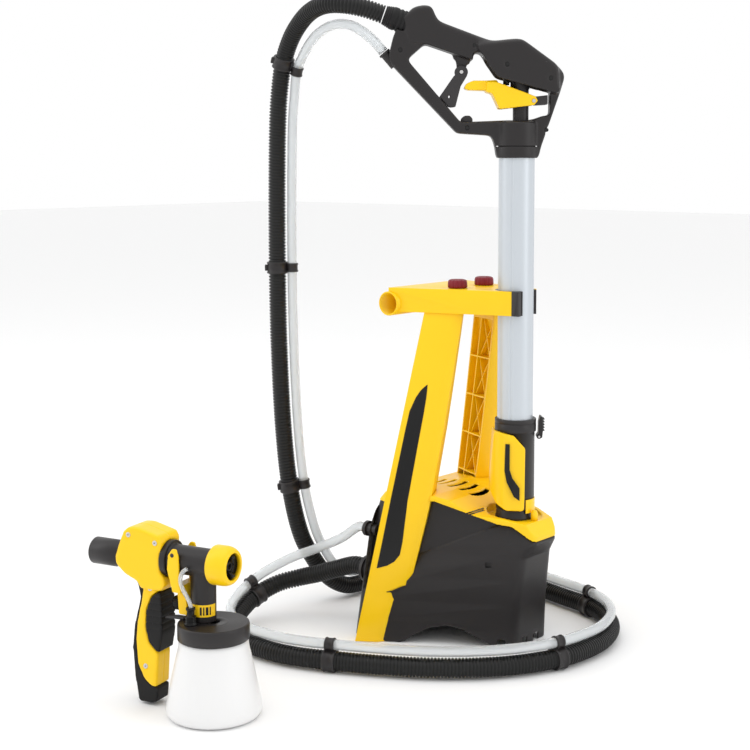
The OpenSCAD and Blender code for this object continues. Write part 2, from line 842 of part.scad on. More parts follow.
module ring_on(at, dir, r, length) {
    yaw = atan2(dir[1], dir[0]);
    pitch = acos(dir[2]);
    translate(at) rotate([0, pitch, yaw]) translate([0, 0, -length / 2]) cylinder(h = length, r = r);
}

module hose_clips() {
    color(black) for (c = clips) {
        dir = tangent(air_route, c[0]);
        hose_at = air_route[c[0]];
        tube_at = tube_route[c[1]];
        difference() {
            union() {
                ring_on(hose_at, dir, hose_d / 2 + 2.6, clip_length);
                ring_on(tube_at, dir, tube_d / 2 + 2.5, clip_length);
            }
            ring_on(hose_at, dir, hose_d / 2, 3 * clip_length);
            translate([-huge / 2, -huge / 2, -50]) cube([huge, huge, 50.1]);
            ring_on(tube_at, dir, tube_d / 2, 3 * clip_length);
        }
    }
}

// ================= spray gun =================
module gun_body_solid() {
    difference() {
        union() {
            intersection() {
                across(rounded(shell_outline, 5, 3), -21, 21);
                union() {
                    lying(-140, -60, 190, 38, 38);
                    translate([-140, -24, 150]) cube([90, 48, 80]);
                }
            }
            intersection() {
                across(rounded(shell_outline, 5, 3), -15, 15);
                translate([-120, -30, 0]) cube([70, 60, 162]);
            }
        }
        across(grip_hole, -40, 40);
        across(rounded(strap_outline, 3, 3), -40, 40);
        lying(-150, -111.9, barrel_z - 4, 17);
        lying(-112, -50, barrel_z, 14);
        lying(-65.6, -40, barrel_z, 23.1);
        gun_screw_rods(2.45, 40);
    }
}

module gun_shell_near() {
    color(yellow) gun_frame() intersection() {
        gun_body_solid();
        translate([-200, -60, 0]) cube([200, 60, 260]);
    }
}

module gun_shell_far() {
    color(yellow) gun_frame() intersection() {
        gun_body_solid();
        translate([-200, 0, 0]) cube([200, 60, 260]);
    }
}

module grip_insert() {
    color(black) gun_frame() across(insert_outline, -15.6, 15.6);
}

module grip_backstrap() {
    color(black) gun_frame() difference() {
        across(rounded(strap_outline, 3, 3), -13, 13);
        lying(-150, -90, barrel_z - 4, 17);
    }
}

module gun_inlet() {
    color(charcoal) gun_frame() difference() {
        lying(-178, -112, barrel_z - 4, 17 - running);
        lying(-179, -140, barrel_z - 4, inlet_bore_r);
        lying(-145, -111, barrel_z - 4, 10);
    }
}

module gun_barrel() {
    color(charcoal) gun_frame() difference() {
        union() {
            lying(-65.5, -57, barrel_z, 23);
            lying(-57, 2, barrel_z, barrel_r);
            lying(2, 12, barrel_z, 15);
            lying(-80, -65.5, barrel_z, 13.9);
            translate([neck_x, 0, 116]) cylinder(h = 62, r = 15.5);
            translate([neck_x - 14, -9, 116]) cube([12, 18, 62]);
        }
        lying(-70, 20, barrel_z, 8);
        translate([neck_x, 0, 110]) cylinder(h = 75, r = 5);
        across_rod([trigger_x, trigger_pivot_z], 2 + running, -30, 30);
    }
}

module gun_trigger() {
    color(yellow) gun_frame() difference() {
        across(rounded(gun_trigger_outline, 3, 3), -21.5, 21.5);
        translate([-100, -barrel_r - 0.6, 160]) cube([100, 2 * barrel_r + 1.2, 60]);
        translate([-100, 11, 100]) cube([100, 30, 52]);
        translate([-100, -41, 100]) cube([100, 30, 52]);
        lying(-70, -20, 133, 3);
        across_rod([trigger_x, trigger_pivot_z], 2 + running, -30, 30);
    }
}

module gun_trigger_pin() {
    color("silver") gun_frame() across_rod([trigger_x, trigger_pivot_z], 2, -21.8, 21.8);
}

module flow_knob() {
    color(black) gun_frame() {
        lying(-56, -46.5, 133, 9);
        lying(-50, -30, 133, 2.9);
    }
}

module needle() {
    color("silver") gun_frame() {
        lying(-56, 12, barrel_z, 2);
        lying(12, 20, barrel_z, 2, 0.6);
        lying(-56, -52, barrel_z, 5);
    }
}

module fluid_nozzle() {
    color("silver") gun_frame() difference() {
        union() {
            lying(-10, 12, barrel_z, 7.9);
            lying(12, 20, barrel_z, 6, 3);
        }
        lying(-11, 13, barrel_z, 3);
        lying(11, 22, barrel_z, 3, 1.6);
    }
}

module air_cap() {
    color(black) gun_frame() difference() {
        union() {
            lying(14, 24, barrel_z, 18);
            for (s = [-1, 1]) {
                translate([24, -4, barrel_z + s * 12 - 4]) cube([7, 8, 8]);
            }
        }
        lying(13, 21, barrel_z, 14);
        lying(20, 25, barrel_z, 4);
    }
}

module ring_nut() {
    color(yellow) gun_frame() difference() {
        union() {
            lying(2.4, 22, barrel_z, 24.5);
            lying(22, 30, barrel_z, 24.5, 20);
        }
        lying(2, 13, barrel_z, 15 + running);
        lying(12.9, 25, barrel_z, 18 + fit);
        lying(24, 31, barrel_z, 16.5);
    }
}

module cup_lid() {
    color(charcoal) gun_frame() difference() {
        union() {
            translate([0, 0, cup_h]) cylinder(h = 20, r = 44.5);
            translate([valve_at[0], valve_at[1], 115]) cylinder(h = 10, r = 7);
            translate([valve_at[0], valve_at[1], 124]) cylinder(h = 10, r = 5);
        }
        translate([0, 0, cup_h - 1]) cylinder(h = 17, r = cup_neck_r - 1.7);
        translate([neck_x, 0, 90]) cylinder(h = 40, r = 4.05);
    }
}

module cup() {
    color("white") gun_frame() difference() {
        rotate_extrude($fn = 96) polygon([
            [0, 0], [cup_r - 7, 0], [cup_r - 2, 3], [cup_r, 8], [cup_r - 1, 20], [cup_neck_r + 3, 76],
            [cup_neck_r + 1, 88], [cup_neck_r + 1, cup_h - fit], [cup_neck_r - 1, cup_h - fit],
            [cup_neck_r - 1, 88], [cup_neck_r + 1, 76], [cup_r - 3, 20], [cup_r - 2, 8], [cup_r - 7, 2.5], [0, 2.5]
        ]);
    }
}

module pickup_tube() {
    color("white") gun_frame() translate([neck_x, 0, 8]) difference() {
        cylinder(h = 112, r = 4);
        translate([0, 0, -1]) cylinder(h = 114, r = 2.5);
    }
}

module pressure_tube() {
    color("white") gun_frame() swept_tube(pressure_route, 5, 8);
}

module gun_screw_rods(r, reach) {
    for (at = gun_screw_at) {
        across_rod([at[0], at[1]], r, -min(at[2], reach), 4 - at[2]);
    }
}

module gun_screws() {
    color("silver") gun_frame() gun_screw_rods(2.4, 21.4);
}

base_housing();
base_pan();
base_feet();
top_cover();
side_frame_near();
side_frame_far();
frame_inlays();
platform();
carry_tube();
pole_clip();
air_knob();
paint_knob();
socket_peg();
motor_can();
turbine_shaft();
turbine_fan();
fan_volute();
paint_pump();
control_board();
air_filter();
hose_outlet();
paint_outlet();
mains_inlet();
housing_screws();
lance_tube();
handle_near();
handle_far();
handle_neck();
pivot_bracket();
lance_trigger();
lance_pins();
lock_lever();
lower_housing();
lower_cover();
lower_inlay();
socket_ring();
latch();
hose_cuff();
paint_inlet();
air_hose();
paint_tube();
hose_clips();
gun_shell_near();
gun_shell_far();
grip_insert();
grip_backstrap();
gun_inlet();
gun_barrel();
gun_trigger();
gun_trigger_pin();
flow_knob();
needle();
fluid_nozzle();
air_cap();
ring_nut();
cup_lid();
cup();
pickup_tube();
pressure_tube();
gun_screws();
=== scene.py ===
"""Looks of the turbine paint sprayer: carry frame, lance, hoses and hand-held cup gun."""

import json
from math import cos, pi, radians, sin

import bmesh
import bpy
from mathutils import Matrix, Vector


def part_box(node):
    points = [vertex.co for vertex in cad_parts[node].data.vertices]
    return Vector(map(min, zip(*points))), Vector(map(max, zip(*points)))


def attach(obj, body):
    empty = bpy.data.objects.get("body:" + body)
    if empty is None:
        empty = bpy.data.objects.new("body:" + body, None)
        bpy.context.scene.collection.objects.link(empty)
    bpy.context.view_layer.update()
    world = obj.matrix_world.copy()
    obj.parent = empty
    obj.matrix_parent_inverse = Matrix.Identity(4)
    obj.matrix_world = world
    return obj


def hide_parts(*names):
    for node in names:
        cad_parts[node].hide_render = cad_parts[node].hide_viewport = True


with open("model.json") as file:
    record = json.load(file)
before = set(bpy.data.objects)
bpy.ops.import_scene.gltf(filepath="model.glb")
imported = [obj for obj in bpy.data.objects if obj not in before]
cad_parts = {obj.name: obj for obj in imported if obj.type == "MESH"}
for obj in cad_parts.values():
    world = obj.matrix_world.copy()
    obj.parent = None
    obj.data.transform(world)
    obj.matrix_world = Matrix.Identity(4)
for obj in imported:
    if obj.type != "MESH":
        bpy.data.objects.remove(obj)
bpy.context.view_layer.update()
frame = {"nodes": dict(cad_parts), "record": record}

MM = 0.001
SLOT_OF = {s["node"]: s["material_slot"] for s in frame["record"]["subparts"]}
BODY_OF = {n: b for b, nodes in frame["record"]["behaviour"]["bodies"].items() for n in nodes}


# ---------------------------------------------------------------- camera and stage
def make_camera():
    """Seen from the front corner, a little under the height of the handle."""
    data = bpy.data.cameras.new("camera")
    data.lens = 71.0
    data.shift_y = -0.15
    camera = bpy.data.objects.new("camera", data)
    bpy.context.collection.objects.link(camera)
    camera.location = (1.177, -1.710, 0.689)
    azimuth, pitch = radians(40), radians(4.2)
    ahead = Vector((-sin(azimuth) * cos(pitch), cos(azimuth) * cos(pitch), -sin(pitch)))
    camera.rotation_euler = ahead.to_track_quat("-Z", "Y").to_euler()
    bpy.context.scene.camera = camera


def soft_box(name, place, aim, size, power, tint=(1, 1, 1)):
    data = bpy.data.lights.new(name, "AREA")
    data.shape = "RECTANGLE"
    data.size, data.size_y = size
    data.energy = power
    data.color = tint
    light = bpy.data.objects.new(name, data)
    bpy.context.collection.objects.link(light)
    light.location = place
    light.rotation_euler = (Vector(aim) - Vector(place)).to_track_quat("-Z", "Y").to_euler()


def make_stage():
    world = bpy.data.worlds.new("studio")
    world.use_nodes = True
    background = world.node_tree.nodes["Background"]
    background.inputs["Color"].default_value = (1, 1, 1, 1)
    background.inputs["Strength"].default_value = 1.0
    bpy.context.scene.world = world
    bpy.context.scene.view_settings.view_transform = "Standard"
    soft_box("overhead", (-0.3, -0.6, 3.2), (-0.1, -0.1, 0.2), (3.4, 3.4), 26)
    soft_box("left_wall", (-2.6, -2.2, 1.9), (-0.2, -0.2, 0.4), (1.6, 2.6), 17)
    soft_box("right_wall", (2.8, 0.6, 1.5), (0, 0, 0.4), (1.2, 2.8), 14)
    mesh = bpy.data.meshes.new("floor")
    far = 14
    mesh.from_pydata([(-far, -far, 0), (far, -far, 0), (far, far, 0), (-far, far, 0)], [], [(0, 1, 2, 3)])
    floor = bpy.data.objects.new("floor", mesh)
    bpy.context.collection.objects.link(floor)
    floor.location.z = -0.0004
    mesh.materials.append(plastic("floor_paint", (0.93, 0.93, 0.93), 0.6, grain=0.02, mottling=0.004,
                                  Specular_IOR_Level=0.1))


# ---------------------------------------------------------------- materials
def wire(tree, out, into):
    tree.links.new(out, into)


def plastic(name, colour, rough, coat=0.0, grain=0.06, grain_size=0.0009, mottling=0.05, metal=0.0,
            edge=0.0, stretch=(1, 1, 1), **extra):
    """Moulded plastic, rubber or metal: fine grain in the bump, broad variation in colour and roughness, and with
    edge a painted highlight that lightens convex edges.
    """
    made = bpy.data.materials.new(name)
    made.use_nodes = True
    tree = made.node_tree
    shader = tree.nodes["Principled BSDF"]
    where = tree.nodes.new("ShaderNodeTexCoord")
    mapping = tree.nodes.new("ShaderNodeMapping")
    mapping.inputs["Scale"].default_value = stretch
    wire(tree, where.outputs["Object"], mapping.inputs["Vector"])

    fine = tree.nodes.new("ShaderNodeTexNoise")
    fine.inputs["Scale"].default_value = 1 / grain_size
    fine.inputs["Detail"].default_value = 3
    wire(tree, mapping.outputs["Vector"], fine.inputs["Vector"])
    bump = tree.nodes.new("ShaderNodeBump")
    bump.inputs["Strength"].default_value = grain
    bump.inputs["Distance"].default_value = 0.0006
    wire(tree, fine.outputs["Fac"], bump.inputs["Height"])
    wire(tree, bump.outputs["Normal"], shader.inputs["Normal"])

    broad = tree.nodes.new("ShaderNodeTexNoise")
    broad.inputs["Scale"].default_value = 26
    broad.inputs["Detail"].default_value = 5
    wire(tree, mapping.outputs["Vector"], broad.inputs["Vector"])
    tone = tree.nodes.new("ShaderNodeMix")
    tone.data_type = "RGBA"
    tone.inputs["A"].default_value = (*[c * (1 - mottling) for c in colour], 1)
    tone.inputs["B"].default_value = (*[min(1, c * (1 + mottling)) for c in colour], 1)
    wire(tree, broad.outputs["Fac"], tone.inputs["Factor"])
    colour_out = tone.outputs["Result"]
    # edge paints convex edges lighter, found by pointiness: a painted highlight along the rounded edges
    if edge:
        shape = tree.nodes.new("ShaderNodeNewGeometry")
        rim = tree.nodes.new("ShaderNodeMapRange")
        rim.inputs["From Min"].default_value = 0.53
        rim.inputs["From Max"].default_value = 0.60
        rim.inputs["To Max"].default_value = edge
        wire(tree, shape.outputs["Pointiness"], rim.inputs["Value"])
        painted_edge_highlight = tree.nodes.new("ShaderNodeMix")
        painted_edge_highlight.data_type = "RGBA"
        painted_edge_highlight.inputs["B"].default_value = (*[min(1, c * 1.25 + 0.035) for c in colour], 1)
        wire(tree, rim.outputs["Result"], painted_edge_highlight.inputs["Factor"])
        wire(tree, colour_out, painted_edge_highlight.inputs["A"])
        colour_out = painted_edge_highlight.outputs["Result"]
    wire(tree, colour_out, shader.inputs["Base Color"])

    shine = tree.nodes.new("ShaderNodeMapRange")
    shine.inputs["To Min"].default_value = max(0.03, rough - 0.06)
    shine.inputs["To Max"].default_value = min(1, rough + 0.06)
    wire(tree, broad.outputs["Fac"], shine.inputs["Value"])
    wire(tree, shine.outputs["Result"], shader.inputs["Roughness"])
    shader.inputs["Metallic"].default_value = metal
    shader.inputs["Coat Weight"].default_value = coat
    shader.inputs["Coat Roughness"].default_value = 0.12
    for socket, value in extra.items():
        shader.inputs[socket.replace("_", " ")].default_value = value
    return made


def make_materials():
    return {
        "charcoal_plastic": plastic("charcoal_plastic", (0.0150, 0.0128, 0.0132), 0.40, grain=0.08,
                                    grain_size=0.0007, edge=0.35, Specular_IOR_Level=0.38),
        "yellow_plastic": plastic("yellow_plastic", (0.97, 0.60, 0.0012), 0.36, coat=0.08, grain=0.04,
                                  mottling=0.02, Specular_IOR_Level=0.35),
        "gloss_black": plastic("gloss_black", (0.006, 0.006, 0.0062), 0.2, grain=0.02, edge=0.2,
                               Specular_IOR_Level=0.2),
        "black_rubber": plastic("black_rubber", (0.0075, 0.0072, 0.0075), 0.55, grain=0.22, grain_size=0.0006,
                                edge=0.3, Specular_IOR_Level=0.25),
        "black_steel": plastic("black_steel", (0.02, 0.02, 0.02), 0.4, metal=0.6, grain=0.08),
        "red_knob": plastic("red_knob", (0.20, 0.008, 0.018), 0.38, grain=0.08, edge=0.4,
                            Specular_IOR_Level=0.3),
        "grey_plastic": plastic("grey_plastic", (0.035, 0.033, 0.034), 0.45, grain=0.10, edge=0.4,
                                Specular_IOR_Level=0.3),
        "aluminium": plastic("aluminium", (0.56, 0.60, 0.64), 0.34, metal=0.35, grain=0.05, grain_size=0.0012,
                             mottling=0.02, stretch=(1, 1, 0.02)),
        "steel": plastic("steel", (0.62, 0.61, 0.60), 0.3, metal=1.0, grain=0.08, mottling=0.06),
        "cast_alloy": plastic("cast_alloy", (0.48, 0.48, 0.49), 0.5, metal=1.0, grain=0.3, mottling=0.08),
        "board": plastic("board", (0.01, 0.11, 0.035), 0.4, grain=0.05),
        "filter_foam": plastic("filter_foam", (0.66, 0.66, 0.62), 0.9, grain=0.8, grain_size=0.002),
        "hose_black": plastic("hose_black", (0.0045, 0.0046, 0.0045), 0.38, grain=0.06, edge=0.2,
                              Specular_IOR_Level=0.3),
        "clear_tube": plastic("clear_tube", (0.95, 0.97, 0.98), 0.16, grain=0.01, mottling=0.02,
                              Transmission_Weight=0.72, IOR=1.28),
        "cup_white": plastic("cup_white", (0.80, 0.80, 0.80), 0.34, coat=0.1, grain=0.03, mottling=0.012,
                             Specular_IOR_Level=0.4),
    }


# ---------------------------------------------------------------- mesh helpers
def piece_from(name, bm, slot, body, place=Matrix.Identity(4), smooth=True, replaces=()):
    """Turns a bmesh into a piece that rides on a body and takes its material from a slot."""
    bmesh.ops.recalc_face_normals(bm, faces=bm.faces)
    mesh = bpy.data.meshes.new(name)
    bm.to_mesh(mesh)
    bm.free()
    mesh.transform(place)
    mesh.materials.append(materials[slot])
    for face in mesh.polygons:
        face.use_smooth = smooth
    piece = bpy.data.objects.new(name, mesh)
    bpy.context.collection.objects.link(piece)
    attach(piece, body)
    if replaces:
        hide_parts(*replaces)
    return piece


def ring_faces(bm, rings):
    """Joins rings of equally many vertices with quads."""
    count = len(rings[0])
    for low, high in zip(rings, rings[1:]):
        for i in range(count):
            j = (i + 1) % count
            bm.faces.new((low[i], low[j], high[j], high[i]))


def lathe(profile, segments=64, loop=False):
    """A solid of revolution about z, from (radius, height) pairs in millimetres."""
    bm = bmesh.new()
    rings = []
    for r, z in profile:
        ring = []
        for k in range(segments):
            a = 2 * pi * k / segments
            ring.append(bm.verts.new((r * MM * cos(a), r * MM * sin(a), z * MM)))
        rings.append(ring)
    if loop:
        ring_faces(bm, rings + [rings[0]])
        return bm
    ring_faces(bm, rings)
    bm.faces.new(rings[0])
    bm.faces.new(rings[-1])
    return bm


def rounded(points, radius, steps=4):
    """An outline with its corners rounded, in the plane of its points."""
    out = []
    count = len(points)
    for i, corner in enumerate(points):
        b = Vector(corner)
        a, c = Vector(points[i - 1]), Vector(points[(i + 1) % count])
        reach = min(radius, (a - b).length * 0.45, (c - b).length * 0.45)
        p, q = b + (a - b).normalized() * reach, b + (c - b).normalized() * reach
        for k in range(steps + 1):
            t = k / steps
            out.append(p.lerp(b, t).lerp(b.lerp(q, t), t))
    return out


def prism(outline, low, high, bevel=0.0, bm=None):
    """A plate with an outline in x and z, from y = low to y = high, in millimetres, with bevelled rims."""
    bm = bm or bmesh.new()
    points = [Vector(p) for p in outline]
    middle = sum(points, Vector((0, 0))) / len(points)
    rings = []
    for inset, y in ((bevel, low), (0, low + bevel), (0, high - bevel), (bevel, high)):
        ring = []
        for p in points:
            inward = (middle - p)
            q = p + inward.normalized() * inset if inward.length > inset else p
            ring.append(bm.verts.new((q[0] * MM, y * MM, q[1] * MM)))
        rings.append(ring)
    ring_faces(bm, rings)
    bm.faces.new(rings[0])
    bm.faces.new(rings[-1])
    return bm


def add_to(bm, other, place=Matrix.Identity(4)):
    """Adds another bmesh, moved by place, and frees it."""
    mesh = bpy.data.meshes.new("part")
    other.to_mesh(mesh)
    other.free()
    mesh.transform(place)
    bm.from_mesh(mesh)
    bpy.data.meshes.remove(mesh)
    return bm


def evaluated(piece):
    """Applies every modifier of a piece."""
    graph = bpy.context.evaluated_depsgraph_get()
    mesh = bpy.data.meshes.new_from_object(piece.evaluated_get(graph))
    piece.modifiers.clear()
    old = piece.data
    piece.data = mesh
    bpy.data.meshes.remove(old)


def moulded(name, nodes, voxel, passes, cutters=(), reshape=None, slot=None, melt=None, melt_passes=60,
            fillers=()):
    """A moulding with soft edges, grown from the CAD nodes that it replaces.

    melt gives how much a point takes part in a second, longer rounding. fillers are solids joined to the
    nodes before they are grown, and cutters are objects taken away last.
    """
    bm = bmesh.new()
    for node in nodes:
        bm.from_mesh(frame["nodes"][node].data)
    bmesh.ops.remove_doubles(bm, verts=bm.verts, dist=1e-5)
    for filler in fillers:
        add_to(bm, filler)
    mesh = bpy.data.meshes.new(name)
    bm.to_mesh(mesh)
    bm.free()
    piece = bpy.data.objects.new(name, mesh)
    bpy.context.collection.objects.link(piece)
    grow = piece.modifiers.new("grow", "REMESH")
    grow.mode = "VOXEL"
    grow.voxel_size = voxel * MM
    if passes:
        soften = piece.modifiers.new("soften", "SMOOTH")
        soften.factor = 0.5
        soften.iterations = passes
    evaluated(piece)
    if melt:
        share = piece.vertex_groups.new(name="melt")
        for vertex in piece.data.vertices:
            share.add([vertex.index], melt(vertex.co), "REPLACE")
        flow = piece.modifiers.new("flow", "SMOOTH")
        flow.factor = 0.5
        flow.iterations = melt_passes
        flow.vertex_group = "melt"
        evaluated(piece)
        piece.vertex_groups.clear()
    if reshape:
        for vertex in piece.data.vertices:
            vertex.co = reshape(vertex.co, vertex.normal)
    for cutter in cutters:
        cut = piece.modifiers.new("cut", "BOOLEAN")
        cut.object = cutter
        cut.solver = "FAST"
    if cutters:
        evaluated(piece)
    piece.data.materials.clear()
    slot = slot or SLOT_OF[nodes[0]]
    piece.data.materials.append(materials[slot])
    for face in piece.data.polygons:
        face.use_smooth = True
    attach(piece, BODY_OF[nodes[0]])
    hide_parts(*nodes)
    for cutter in cutters:
        bpy.data.objects.remove(cutter)
    return piece


def crisp(name, node, width):
    """A flat-sided moulding: the CAD node's own faces with small rounded edges."""
    bm = bmesh.new()
    bm.from_mesh(frame["nodes"][node].data)
    bmesh.ops.remove_doubles(bm, verts=bm.verts, dist=2e-5)
    bmesh.ops.dissolve_limit(bm, angle_limit=radians(0.12), verts=bm.verts, edges=bm.edges)
    piece = piece_from(name, bm, SLOT_OF[node], BODY_OF[node], replaces=[node])
    soft = piece.modifiers.new("edges", "BEVEL")
    soft.width = width * MM
    soft.segments = 3
    soft.limit_method = "ANGLE"
    soft.angle_limit = radians(28)
    evaluated(piece)
    piece.data.set_sharp_from_angle(angle=radians(40))
    return piece


def cutter_from(bm, place=Matrix.Identity(4)):
    bmesh.ops.recalc_face_normals(bm, faces=bm.faces)
    mesh = bpy.data.meshes.new("cutter")
    bm.to_mesh(mesh)
    bm.free()
    mesh.transform(place)
    cutter = bpy.data.objects.new("cutter", mesh)
    bpy.context.collection.objects.link(cutter)
    cutter.hide_render = True
    return cutter


# ---------------------------------------------------------------- frames of the lance and the gun
cup_low, cup_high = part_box("cup")
CUP_CENTRE = (cup_low + cup_high) / 2
LANCE = Matrix.Rotation(radians(220), 4, "Z")
GUN = Matrix.Translation((CUP_CENTRE.x, CUP_CENTRE.y, 0)) @ Matrix.Rotation(radians(13), 4, "Z")


def at(frame_matrix, x, y, z):
    return frame_matrix @ Matrix.Translation((x * MM, y * MM, z * MM))


def lying_along_x(frame_matrix, x, y, z):
    """The lathe's axis turned to lie along the frame's x."""
    return at(frame_matrix, x, y, z) @ Matrix.Rotation(pi / 2, 4, "Y")


def facing_near(frame_matrix, x, y, z, near=1):
    """The lathe's axis turned to point to the frame's +y, or to -y."""
    return at(frame_matrix, x, y, z) @ Matrix.Rotation(-near * pi / 2, 4, "X")


# ---------------------------------------------------------------- hoses
HOSE_D = 0.026
TUBE_D = 0.014
AIR_ROUTE = [
    (-190, -100, 89), (-214, -100, 89), (-248, -103, 77), (-278, -110, 66), (-304, -122, 58),
    (-326, -145, 50), (-337, -178, 38), (-334, -212, 25), (-321, -242, 16), (-296, -268, 14.5),
    (-256, -287, 14.5), (-205, -293, 14.5), (-158, -287, 14.5), (-110, -269, 14.5), (-52, -242, 14.5),
    (3, -210, 14.5), (52, -170, 14.5), (90, -124, 14.5), (118, -66, 14.5), (127, -12, 14.5),
    (125, 36, 14.5), (107, 88, 14.5), (74, 130, 14.5), (28, 158, 14.5), (-30, 174, 14.5),
    (-90, 190, 14.5), (-150, 204, 14.5), (-205, 200, 14.5), (-255, 175, 14.5), (-290, 132, 14.5),
    (-308, 82, 14.5), (-312, 34, 14.5), (-313, -6, 19), (-320, -38, 38), (-328, -64, 72),
    (-334, -87, 117), (-338, -105, 190), (-343, -113, 280), (-347, -117, 400), (-349, -118, 520),
    (-349, -118, 640), (-347, -118, 730), (-343, -118, 780), (-332, -121, 822), (-312, -127, 854),
    (-284, -136, 877), (-252, -147, 891), (-219, -154, 897), (-189, -151, 896), (-163, -137, 890),
    (-142, -119, 881),
]
TUBE_ROUTE = [
    (-190, -100, 148), (-206, -100, 147), (-233, -107, 127), (-270, -117, 108), (-306, -133, 91),
    (-332, -162, 72), (-340, -187, 59), (-337, -219, 47), (-322, -246, 39), (-296, -268, 36.5),
    (-256, -287, 36.5), (-205, -293, 36.5), (-158, -287, 36.5), (-110, -269, 36.5), (-52, -242, 36.5),
    (3, -210, 36.5), (52, -170, 36.5), (90, -124, 36.5), (118, -66, 36.5), (127, -12, 36.5),
    (125, 36, 36.5), (107, 88, 36.5), (74, 130, 36.5), (28, 158, 36.5), (-30, 174, 36.5),
    (-90, 190, 36.5), (-150, 204, 36.5), (-205, 200, 36.5), (-255, 175, 36.5), (-290, 132, 36.5),
    (-308, 82, 36.5), (-312, 34, 36.5), (-311, 0, 40), (-316, -26, 55), (-316, -50, 83),
    (-317, -73, 124), (-321, -91, 193), (-326, -99, 281), (-330, -103, 400), (-332, -104, 520),
    (-332, -104, 640), (-330, -104, 730), (-325, -105, 775), (-315, -110, 810), (-296, -115, 835),
    (-270, -123, 855), (-240, -131, 867), (-210, -137, 871), (-183, -139, 867), (-165, -135, 857),
    (-152, -127, 844), (-142, -119, 829),
]
CLIPS = [(6, 6), (13, 13), (18, 18), (23, 23), (36, 36), (39, 39), (43, 43)]


def smooth_path(route, step):
    """Points a step apart on a smooth curve through the route."""
    points = [Vector(p) * MM for p in route]
    ends = [points[0] * 2 - points[1], *points, points[-1] * 2 - points[-2]]
    dense = []
    for a, b, c, d in zip(ends, ends[1:], ends[2:], ends[3:]):
        for k in range(24):
            t = k / 24
            dense.append(0.5 * (2 * b + (c - a) * t + (2 * a - 5 * b + 4 * c - d) * t * t
                                + (3 * b - a - 3 * c + d) * t * t * t))
    dense.append(points[-1])
    path, left = [dense[0]], step
    for a, b in zip(dense, dense[1:]):
        run = (b - a).length
        done = 0.0
        while run - done >= left:
            done += left
            path.append(a.lerp(b, done / run))
            left = step
        left -= run - done
    return path


def ring_round(bm, centre, along, normal, radius, sides):
    side = along.cross(normal)
    ring = []
    for k in range(sides):
        a = 2 * pi * k / sides
        ring.append(bm.verts.new(centre + (normal * cos(a) + side * sin(a)) * radius))
    return ring


def carried_normals(path):
    """Directions across the path, carried along it without twist."""
    found = []
    normal = Vector((0, 0.3, 1))
    for i in range(len(path)):
        along = (path[min(i + 1, len(path) - 1)] - path[max(i - 1, 0)]).normalized()
        normal = (normal - along * normal.dot(along)).normalized()
        found.append((along, normal.copy()))
    return found


def make_air_hose():
    """The ribbed air hose: flat-topped ribs with narrow valleys."""
    pitch = 0.0046
    crest, valley = HOSE_D / 2, HOSE_D / 2 - 0.0024
    path = smooth_path(AIR_ROUTE, pitch / 4)
    heights = [valley, crest - 0.0003, crest, crest - 0.0003]
    bm = bmesh.new()
    rings = [ring_round(bm, point, *carried, heights[i % 4], 20)
             for i, (point, carried) in enumerate(zip(path, carried_normals(path)))]
    ring_faces(bm, rings)
    bm.faces.new(rings[0])
    bm.faces.new(rings[-1])
    hose = piece_from("air_hose_ribbed", bm, "hose_black", "root", replaces=["air_hose"])


def hollow_tube(path, outer_radius, inner_radius, sides):
    """A hollow tube along a path, open at both ends."""
    carried = carried_normals(path)
    bm = bmesh.new()
    outer = [ring_round(bm, p, *c, outer_radius, sides) for p, c in zip(path, carried)]
    inner = [ring_round(bm, p, *c, inner_radius, sides) for p, c in zip(path, carried)]
    ring_faces(bm, outer)
    ring_faces(bm, inner)
    ring_faces(bm, [inner[0], outer[0]])
    ring_faces(bm, [inner[-1], outer[-1]])
    return bm


def make_paint_tube():
    """The clear paint tube, hollow."""
    path = smooth_path(TUBE_ROUTE, 0.006)
    bm = hollow_tube(path, TUBE_D / 2, TUBE_D * 0.37, 20)
    tube = piece_from("paint_tube_clear", bm, "clear_tube", "root", replaces=["paint_tube"])


def band_profile(inner, outer, length, bead):
    """A band round a hose with a bead at each rim and a shallow waist."""
    half = length / 2
    crest = outer + bead
    return [(inner, -half), (crest - 0.5, -half), (crest, -half + 0.6), (crest, -half + 2.2),
            (outer, -half + 3), (outer, half - 3), (crest, half - 2.2), (crest, half - 0.6),
            (crest - 0.5, half), (inner, half)]


def make_clips():
    bm = bmesh.new()
    for air, clear in CLIPS:
        hose_at, tube_at = Vector(AIR_ROUTE[air]) * MM, Vector(TUBE_ROUTE[clear]) * MM
        along = (Vector(AIR_ROUTE[air + 1]) - Vector(AIR_ROUTE[air - 1])).normalized()
        turn = along.to_track_quat("Z", "X").to_matrix().to_4x4()
        hose_band = lathe(band_profile(12.6, 14.7, 17, 0.9), 40, loop=True)
        add_to(bm, hose_band, Matrix.Translation(hose_at) @ turn)
        tube_band = lathe(band_profile(7.05, 8.4, 13, 0.7), 32, loop=True)
        add_to(bm, tube_band, Matrix.Translation(tube_at) @ turn)
        across = tube_at - hose_at
        across -= along * across.dot(along)
        lean = Matrix.Translation(hose_at) @ Matrix((along.cross(across.normalized()), along,
                                                     across.normalized())).transposed().to_4x4()
        reach = across.length / MM - 7.2
        outline = rounded([(-5.5, 13), (5.5, 13), (4, reach), (-4, reach)], 1)
        add_to(bm, prism(outline, -5, 5, 0.8), lean)
        ear = rounded([(-4.5, -18.4), (4.5, -18.4), (3.4, -13), (-3.4, -13)], 1)
        if air >= 36:
            add_to(bm, prism(ear, -4.5, 4.5, 0.8), lean)
    for vertex in bm.verts:
        vertex.co.z = max(vertex.co.z, 0.0001)
    piece_from("hose_clips_ribbed", bm, "charcoal_plastic", "root", replaces=["hose_clips"])


